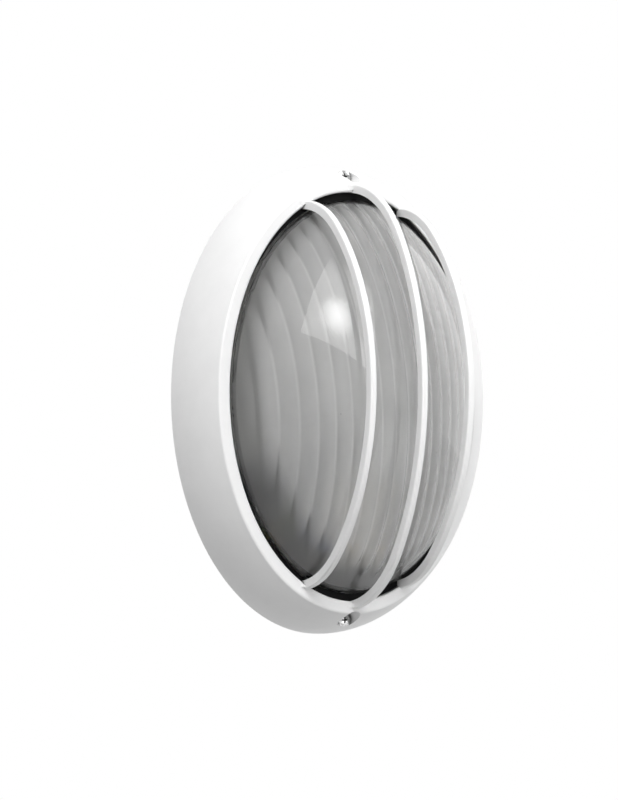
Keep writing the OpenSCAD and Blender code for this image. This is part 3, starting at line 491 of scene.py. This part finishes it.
class GlassSettings(bpy.types.PropertyGroup):
    rim_depth: FloatProperty(
        name="Rim depth", description="From the wall to the front of the cage's rim", unit="LENGTH",
        default=0.043)
    dome_width: FloatProperty(
        name="Dome width", description="Width of the dome where it passes the rim", unit="LENGTH",
        default=0.1569)
    dome_height: FloatProperty(
        name="Dome height", description="Height of the dome where it passes the rim", unit="LENGTH",
        default=0.22214)
    dome_drop: FloatProperty(
        name="Dome drop", description="How far behind the rim's front the dome's curve is centred",
        unit="LENGTH", default=0.048)
    thickness: FloatProperty(
        name="Thickness", description="Thickness of the glass", unit="LENGTH", default=0.0036)
    flange: FloatProperty(
        name="Flange", description="Thickness of the flange", unit="LENGTH", default=0.004)
    flute_pitch: FloatProperty(
        name="Flute pitch", description="Distance between neighbouring flutes", unit="LENGTH",
        default=0.0078)
    flute_shift: FloatProperty(
        name="Flute shift", description="How far the middle flute stands off the centre line",
        unit="LENGTH", default=-0.0026)
    flute_depth: FloatProperty(
        name="Flute depth", description="Depth of a flute", unit="LENGTH", default=0.0009)
    flute_lean: FloatProperty(
        name="Flute lean", description="Lean of the flutes from upright", subtype="ANGLE",
        default=math.radians(4.3))
    field_width: FloatProperty(
        name="Field width", description="Width of the fluted field", unit="LENGTH", default=0.1505)
    field_height: FloatProperty(
        name="Field height", description="Height of the fluted field", unit="LENGTH", default=0.216)
    field_rise: FloatProperty(
        name="Field rise", description="How far the field's middle is above the dome's", unit="LENGTH",
        default=0.006)
    glass_colour: FloatVectorProperty(
        name="Glass", description="Tint of the glass", subtype="COLOR", size=4, min=0, max=1,
        default=srgb("F8F8F8"))
    frost_colour: FloatVectorProperty(
        name="Frost tint", description="Tint of the matt flutes", subtype="COLOR", size=4, min=0, max=1,
        default=srgb("D6D6D6"))
    # Painted highlight: a paler tint standing in for the light that the ridges catch.
    ridge_highlight_colour: FloatVectorProperty(
        name="Ridge tint", description="Tint of the ridges between flutes, which catch the light",
        subtype="COLOR", size=4, min=0, max=1, default=srgb("EEEEEE"))
    # Painted shade: a dark tint standing in for the dark space seen through the clearer band.
    band_shade_colour: FloatVectorProperty(
        name="Band tint", description="Tint of the plain band round the flutes", subtype="COLOR", size=4,
        min=0, max=1, default=srgb("808080"))
    frost: FloatProperty(
        name="Frost", description="Roughness of the matt flutes", subtype="FACTOR", default=0.6, min=0,
        max=1)
    milk: FloatProperty(
        name="Milk", description="Share of light that the matt flutes scatter", subtype="FACTOR",
        default=0.5, min=0, max=1)
    seed_gap: FloatProperty(
        name="Seed gap", description="Usual distance between specks in the glass", unit="LENGTH",
        default=0.018, min=0.002)


class StageSettings(bpy.types.PropertyGroup):
    azimuth: FloatProperty(
        name="Azimuth", description="Camera's turn round the light from straight in front", subtype="ANGLE",
        default=math.radians(-29.258))
    elevation: FloatProperty(
        name="Elevation", description="Camera's height as an angle", subtype="ANGLE",
        default=math.radians(-3.644))
    roll: FloatProperty(
        name="Roll", description="Camera's tilt about its own line of sight", subtype="ANGLE",
        default=math.radians(0.047))
    distance: FloatProperty(
        name="Distance", description="From the aim point to the camera", unit="LENGTH", default=1.3531)
    aim: FloatVectorProperty(
        name="Aim", description="Point that the camera looks at", subtype="TRANSLATION", size=3,
        default=(-0.0338, -0.05, -0.0039))
    lens: FloatProperty(
        name="Lens", description="Focal length in millimetres", unit="CAMERA", default=142.03)
    floor_drop: FloatProperty(
        name="Floor", description="How far the floor is below the middle of the light", unit="LENGTH",
        default=1.1)
    floor_lift: FloatProperty(
        name="Floor lift", description="Light added to the floor where it is seen directly", default=0.9)
    floor_mirrored: FloatProperty(
        name="Floor in reflections", description="Share of that lift that reflections show",
        subtype="FACTOR", default=0.6, min=0, max=1)
    key_power: FloatProperty(
        name="Key", description="Power of the tall soft box above the camera, in watts", unit="POWER",
        default=31.0)
    side_power: FloatProperty(
        name="Side", description="Power of the soft box on the right, in watts", unit="POWER",
        default=8.0)
    low_power: FloatProperty(
        name="Low", description="Power of the low soft box at the front right, in watts", unit="POWER",
        default=5.0)
    ceiling_fill: FloatProperty(name="Ceiling", description="Brightness of the room above", default=0.70)
    floor_fill: FloatProperty(name="Low room", description="Brightness of the room below", default=0.26)


class Dome:
    """The glass as points and faces, with its finish at each point and its creased edges.

    It is two caps of ellipsoids, one inside the other, whose cut edges a flange joins. Both caps are grids
    of columns, which follow the flutes, and rows, which cross them.
    """

    COLUMNS_PER_FLUTE = 10
    ROWS = 200
    END_DEGREES = 9         # from a cap's end to where its columns begin to follow the flutes
    FADE = 0.10             # share of the field's reach over which a flute gets shallow and narrow
    MATT_EDGE = 0.55        # how far in from its own edge a flute is fully matt, in shares of FADE
    MATT_REACH = 1.4        # how far in from the field's edge it is, in the same shares
    FLANK_SHADE = 0.16       # how much less matt a flute's left flank is: clearer, and darker by the band's tint, which is painted shade
    RIDGE_START = 0.9       # how high up a flute's side the ridge begins, as a share of the flute's depth

    def __init__(self, settings, low, high):
        """Low and high are the corners of the glass's box, whose sides the flange reaches."""
        self.settings = settings
        self.centre = settings.rim_depth - settings.dome_drop
        self.apex = -low[1]
        self.outer = self.full_axes(0.0)
        self.inner = self.full_axes(settings.thickness)
        self.points = []
        self.matt = []
        self.ridge = []
        self.faces = []
        self.inside = []
        self.creases = set()
        columns = self.columns()
        outer_rim = self.add_cap(self.outer, columns, fluted=False)
        inner_rim = self.add_cap(self.inner, columns, fluted=True)
        self.add_flange(outer_rim, inner_rim, (high[0], high[2]), -high[1])

    def waist(self, rise):
        """How wide an ellipsoid of that rise still is where it is cut, as a share of its full width."""
        return math.sqrt(1 - (self.settings.dome_drop / rise) ** 2)

    def full_axes(self, inset):
        """Half-width, half-height and rise of the ellipsoid whose cap lies inset from the outer face."""
        rise = self.apex - inset - self.centre
        half_width = self.settings.dome_width / 2 - inset
        half_height = self.settings.dome_height / 2 - inset
        return half_width / self.waist(rise), half_height / self.waist(rise), rise

    def columns(self):
        """Places across the flutes, from -1 to 1 of the inner cap's reach, with one at each ridge."""
        reach = self.inner[0] * self.waist(self.inner[2])
        step = self.settings.flute_pitch / self.COLUMNS_PER_FLUTE
        limit = math.cos(math.radians(self.END_DEGREES)) * reach
        ridge = self.settings.flute_shift + self.settings.flute_pitch / 2
        first = math.ceil((-limit - ridge) / step)
        last = math.floor((limit - ridge) / step)
        places = [(ridge + k * step) / reach for k in range(first, last + 1)]
        ends = [math.cos(math.radians(angle)) for angle in range(self.END_DEGREES, -1, -1)]
        return [-place for place in reversed(ends)] + places + ends

    def cap_point(self, axes, place, row, fluted):
        """A cap's point, how matt it is and if on a ridge. Place runs across the flutes and row along."""
        across = place * self.waist(axes[2])
        belt = math.sqrt(1 - across ** 2)
        angle = row * math.acos(min(1.0, self.settings.dome_drop / axes[2] / belt))
        along, out = belt * math.sin(angle), belt * math.cos(angle)
        turn = math.atan(math.tan(self.settings.flute_lean) * axes[1] / axes[0])
        x = math.cos(turn) * across - math.sin(turn) * along
        z = math.sin(turn) * across + math.cos(turn) * along
        point = Vector((x * axes[0], -self.centre - out * axes[2], z * axes[1]))
        if not fluted:
            return point, 0.0, 0.0
        normal = Vector((x / axes[0], -out / axes[2], z / axes[1])).normalized()
        cut, matt, ridge = self.flute_cut(across * axes[0], point)
        return point + normal * cut, matt, ridge

    def flute_cut(self, across, point):
        """The flute's depth there, how matt it is and if on a ridge. Each flute is an arc with round ends."""
        settings = self.settings
        phase = ((across - settings.flute_shift) / settings.flute_pitch + 0.5) % 1.0
        reach = math.hypot(point.x / (settings.field_width / 2),
                           (point.z - settings.field_rise) / (settings.field_height / 2))
        fade = (1.0 - reach) / self.FADE
        edge = (2 * phase - 1) ** 2
        lean = (edge + (1 - phase) ** 2) / 2
        matt = min(1.0, max(0.0, (fade - lean) / self.MATT_EDGE))
        # The left flank is made less matt: partly a clearer flank, partly painted shade from the band's dark
        # tint.
        matt *= min(1.0, max(0.0, fade / self.MATT_REACH)) * (1 - self.FLANK_SHADE * (1 - phase))
        ridge = 1.0 if edge > self.RIDGE_START else 0.0
        return settings.flute_depth * max(0.0, min(1.0, fade) - edge), matt, ridge

    def add_point(self, point, matt=0.0, ridge=0.0):
        self.points.append(tuple(point))
        self.matt.append(matt)
        self.ridge.append(ridge)
        return len(self.points) - 1

    def add_cap(self, axes, columns, fluted):
        """Adds a cap whose end columns close to a point, and returns its rim, anticlockwise from +X."""
        grid = []
        for place in columns:
            rows = [0] if abs(place) == 1.0 else range(-self.ROWS // 2, self.ROWS // 2 + 1)
            grid.append([self.add_point(*self.cap_point(axes, place, 2 * row / self.ROWS, fluted))
                         for row in rows])
        for left, right in zip(grid, grid[1:]):
            for row in range(self.ROWS):
                if len(left) == 1:
                    face = (left[0], right[row], right[row + 1])
                elif len(right) == 1:
                    face = (left[row], right[0], left[row + 1])
                else:
                    face = (left[row], right[row], right[row + 1], left[row + 1])
                self.faces.append(face[::-1] if fluted else face)
                self.inside.append(int(fluted))
        top = [column[-1] for column in reversed(grid)]
        bottom = [column[0] for column in grid[1:-1]]
        return top + bottom

    def add_flange(self, outer_rim, inner_rim, flange_half, back):
        """Joins the caps' rims by the flange. Its back face and the wall inside it belong to the inside."""
        settings = self.settings
        front = back + settings.flange
        dome_half = (settings.dome_width / 2, settings.dome_height / 2)
        hollow_half = tuple(half - settings.thickness for half in dome_half)
        edges = ((dome_half, front), (flange_half, front), (flange_half, back), (hollow_half, back))
        rings = [self.add_ring(outer_rim, half, depth) for half, depth in edges]
        rings = [outer_rim, *rings, inner_rim]
        for upper, lower, inside in zip(rings, rings[1:], (0, 0, 0, 1, 1)):
            for i in range(len(upper)):
                j = (i + 1) % len(upper)
                self.faces.append((upper[i], lower[i], lower[j], upper[j]))
                self.inside.append(inside)
                self.creases.add(tuple(sorted((upper[i], upper[j]))))

    def add_ring(self, rim, half, depth):
        """A ring of points at each rim point's own angle, on an ellipse at that depth."""
        ring = []
        for index in rim:
            x, _, z = self.points[index]
            angle = math.atan2(z / self.settings.dome_height, x / self.settings.dome_width)
            ring.append(self.add_point((half[0] * math.cos(angle), -depth, half[1] * math.sin(angle))))
        return ring


class WALLLIGHT_OT_cage(bpy.types.Operator):
    """Finish the cast cage"""
    bl_idname = "wall_light.cage"
    bl_label = "Cage"

    def execute(self, context):
        apply_finish(powder_coat(context.scene.wall_light_cage), "front_cage")
        return {"FINISHED"}


class WALLLIGHT_OT_glass(bpy.types.Operator):
    """Make the pressed glass dome, with flutes inside that fade out at their ends"""
    bl_idname = "wall_light.glass"
    bl_label = "Glass dome"

    def execute(self, context):
        settings = context.scene.wall_light_glass
        glass = Dome(settings, *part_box("glass_dome"))
        mesh = bpy.data.meshes.new("pressed_glass_dome")
        mesh.from_pydata(glass.points, [], glass.faces)
        mesh.polygons.foreach_set("use_smooth", [True] * len(glass.faces))
        mesh.materials.append(polished_glass(settings))
        mesh.materials.append(frosted_glass(settings))
        mesh.polygons.foreach_set("material_index", glass.inside)
        mesh.attributes.new(MATT, "FLOAT", "POINT").data.foreach_set("value", glass.matt)
        mesh.attributes.new(RIDGE, "FLOAT", "POINT").data.foreach_set("value", glass.ridge)
        sharp = [tuple(sorted(edge.vertices)) in glass.creases for edge in mesh.edges]
        mesh.attributes.new("sharp_edge", "BOOLEAN", "EDGE").data.foreach_set("value", sharp)
        dome = bpy.data.objects.new("pressed_glass_dome", mesh)
        context.collection.objects.link(dome)
        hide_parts("glass_dome")
        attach(dome, "root")
        return {"FINISHED"}


class WALLLIGHT_OT_seals(bpy.types.Operator):
    """Finish the rubber and foam seals"""
    bl_idname = "wall_light.seals"
    bl_label = "Seals"

    def execute(self, context):
        apply_finish(moulded_rubber(), "glass_gasket", "cable_grommet")
        apply_finish(closed_cell_foam(), "wall_gasket")
        return {"FINISHED"}


class WALLLIGHT_OT_hardware(bpy.types.Operator):
    """Finish the steel and brass small pieces"""
    bl_idname = "wall_light.hardware"
    bl_label = "Screws and terminals"

    def execute(self, context):
        apply_finish(chromed_steel(), "cover_screw_upper", "cover_screw_lower")
        apply_finish(bright_plated_steel(), "reflector_screws", "lampholder_bracket", "lampholder_screws",
                     "bracket_screws", "terminal_block_screw")
        apply_finish(turned_brass(), "lampholder_shell", "lampholder_contact", "lampholder_terminals",
                     "terminal_clamps", "terminal_screws", "earth_screw", "earth_washer")
        return {"FINISHED"}


class WALLLIGHT_OT_base(bpy.types.Operator):
    """Finish the base and the reflector"""
    bl_idname = "wall_light.base"
    bl_label = "Base and reflector"

    def execute(self, context):
        apply_finish(cast_aluminium(), "rear_base")
        apply_finish(stoved_white_sheet(), "reflector")
        return {"FINISHED"}


class WALLLIGHT_OT_lamp(bpy.types.Operator):
    """Finish the lamp and the lampholder"""
    bl_idname = "wall_light.lamp"
    bl_label = "Lamp and lampholder"

    def execute(self, context):
        apply_finish(glazed_porcelain(), "lampholder_body")
        apply_finish(opal_lamp_glass(), "lamp")
        return {"FINISHED"}


class WALLLIGHT_OT_wiring(bpy.types.Operator):
    """Finish the terminal block and the leads"""
    bl_idname = "wall_light.wiring"
    bl_label = "Terminal block and leads"

    def execute(self, context):
        nylon = moulded_plastic("moulded_white_nylon", "DAD8D0", "E8E6DF", roughness=0.45)
        apply_finish(nylon, "terminal_block")
        for lead, colour, dark, light in (("live_lead", "brown", "53301B", "6B4128"),
                                          ("neutral_lead", "blue", "1E4E9C", "2C62B4"),
                                          ("earth_lead", "green_yellow", "5E8F1E", "A7B52A")):
            silicone = moulded_plastic(f"{colour}_silicone_insulation", dark, light, roughness=0.5)
            apply_finish(silicone, lead)
        return {"FINISHED"}


class WALLLIGHT_OT_stage(bpy.types.Operator):
    """Set the floor, the lights, the room and the camera"""
    bl_idname = "wall_light.stage"
    bl_label = "Stage"

    def execute(self, context):
        settings = context.scene.wall_light_stage
        self.add_floor(context, settings)
        for name, box in SOFT_BOXES.items():
            self.add_soft_box(context, name, box, getattr(settings, f"{name}_power"))
        self.set_room(context, settings)
        self.add_camera(context, settings)
        context.scene.view_settings.view_transform = "Standard"
        return {"FINISHED"}

    def add_floor(self, context, settings):
        mesh = bpy.data.meshes.new("floor")
        corners = [(x * FLOOR_HALF, y * FLOOR_HALF, 0) for x, y in ((-1, -1), (1, -1), (1, 1), (-1, 1))]
        mesh.from_pydata(corners, [], [(0, 1, 2, 3)])
        mesh.materials.append(floor_paint(settings))
        floor = bpy.data.objects.new("floor", mesh)
        floor.location = (0, 0, -settings.floor_drop)
        context.collection.objects.link(floor)

    def add_soft_box(self, context, name, box, power):
        """A rectangular lamp behind a cloth, which faces the wall light."""
        corner = Vector(box["corner"])
        across = Vector(box["across"]).normalized()
        up = Vector(box["up"])
        up = (up - up.dot(across) * across).normalized()
        data = bpy.data.lights.new(f"{name}_box", "AREA")
        data.shape = "RECTANGLE"
        data.size, data.size_y = box["size"]
        data.energy = power
        middle = corner + (across * data.size + up * data.size_y) / 2
        lamp = bpy.data.objects.new(f"{name}_box", data)
        lamp.matrix_world = placed(middle, across, up, across.cross(up))
        context.collection.objects.link(lamp)
        data.use_nodes = True
        data.node_tree.nodes.clear()
        self.add_cloth(data.node_tree, box, corner, across, up)

    def add_cloth(self, tree, box, corner, across, up):
        """The cloth's brightness by how far a point is above or below its level and from its lamp."""
        place = add_node(tree, "ShaderNodeNewGeometry").outputs["Position"]
        height = add_node(tree, "ShaderNodeVectorMath", {0: place}, {1: tuple(up)}, operation="DOT_PRODUCT")
        off = add_node(tree, "ShaderNodeMath", {0: height.outputs["Value"]},
                       {1: corner.dot(up) + box["level"]}, operation="SUBTRACT")
        far = add_node(tree, "ShaderNodeMath", {0: off.outputs["Value"]}, operation="ABSOLUTE")
        even = add_node(tree, "ShaderNodeMapRange", {"Value": far.outputs["Value"]},
                        {"From Min": box["fade"][0], "From Max": box["fade"][1], "To Min": 1.0,
                         "To Max": box["dim"]},
                        interpolation_type="SMOOTHSTEP")
        bright = even.outputs["Result"]
        if "lamp" in box:
            lamp = corner + across * box["lamp"][0] + up * box["lamp"][1]
            from_lamp = add_node(tree, "ShaderNodeVectorMath", {0: place}, {1: tuple(lamp)},
                                 operation="DISTANCE")
            hot = add_node(tree, "ShaderNodeMapRange", {"Value": from_lamp.outputs["Value"]},
                           {"From Max": HOT_SPOT_REACH, "To Min": HOT_SPOT_GAIN, "To Max": 0.0},
                           interpolation_type="SMOOTHERSTEP")
            both = add_node(tree, "ShaderNodeMath", {0: hot.outputs["Result"], 1: bright})
            bright = both.outputs["Value"]
        glow = add_node(tree, "ShaderNodeEmission", {"Strength": bright})
        add_node(tree, "ShaderNodeOutputLight", {"Surface": glow.outputs["Emission"]})

    def set_room(self, context, settings):
        """White where the camera, a reflection or the glass sees it, and softer as a source of light."""
        world = bpy.data.worlds.new("white_room")
        world.use_nodes = True
        tree = world.node_tree
        tree.nodes.clear()
        place = add_node(tree, "ShaderNodeTexCoord")
        way = add_node(tree, "ShaderNodeSeparateXYZ", {"Vector": place.outputs["Generated"]})
        walls = add_node(tree, "ShaderNodeMapRange", {"Value": way.outputs["Z"]},
                         {"From Min": -1.0, "To Min": settings.floor_fill, "To Max": settings.ceiling_fill})
        strength = add_node(tree, "ShaderNodeMix",
                            {"Factor": seen_directly(tree), "A": walls.outputs["Result"]}, {"B": 1.0})
        light = add_node(tree, "ShaderNodeBackground", {"Strength": strength.outputs["Result"]},
                         {"Color": (1, 1, 1, 1)})
        add_node(tree, "ShaderNodeOutputWorld", {"Surface": light.outputs["Background"]})
        context.scene.world = world

    def add_camera(self, context, settings):
        data = bpy.data.cameras.new("picture")
        data.sensor_fit = "HORIZONTAL"
        data.sensor_width = SENSOR_WIDTH
        data.lens = settings.lens
        data.clip_end = SIGHT
        turn, height = settings.azimuth, settings.elevation
        back = Vector((math.sin(turn) * math.cos(height), -math.cos(turn) * math.cos(height),
                       math.sin(height)))
        right = Matrix.Rotation(settings.roll, 3, back) @ Vector((math.cos(turn), math.sin(turn), 0))
        camera = bpy.data.objects.new("picture", data)
        middle = Vector(settings.aim) + back * settings.distance
        camera.matrix_world = placed(middle, right, back.cross(right), back)
        context.collection.objects.link(camera)
        context.scene.camera = camera


STEPS = (WALLLIGHT_OT_cage, WALLLIGHT_OT_glass, WALLLIGHT_OT_seals, WALLLIGHT_OT_hardware,
         WALLLIGHT_OT_base, WALLLIGHT_OT_lamp, WALLLIGHT_OT_wiring, WALLLIGHT_OT_stage)
SETTINGS = {"wall_light_cage": CageSettings, "wall_light_glass": GlassSettings,
            "wall_light_stage": StageSettings}


class WALLLIGHT_PT_panel(bpy.types.Panel):
    bl_label = "Wall Light"
    bl_idname = "WALLLIGHT_PT_panel"
    bl_space_type = "VIEW_3D"
    bl_region_type = "UI"
    bl_category = "Wall Light"

    def draw(self, context):
        for group in SETTINGS:
            settings = getattr(context.scene, group)
            box = self.layout.box()
            for name in settings.bl_rna.properties.keys():
                if name not in {"rna_type", "name"}:
                    box.prop(settings, name)
        for step in STEPS:
            self.layout.operator(step.bl_idname)


CLASSES = tuple(SETTINGS.values()) + STEPS + (WALLLIGHT_PT_panel,)


def register():
    for cls in CLASSES:
        bpy.utils.register_class(cls)
    for name, group in SETTINGS.items():
        setattr(bpy.types.Scene, name, PointerProperty(type=group))


def unregister():
    for name in SETTINGS:
        delattr(bpy.types.Scene, name)
    for cls in reversed(CLASSES):
        bpy.utils.unregister_class(cls)


def main():
    register()
    for step in STEPS:
        group, name = step.bl_idname.split(".")
        getattr(getattr(bpy.ops, group), name)()


if __name__ == "__main__":
    main()
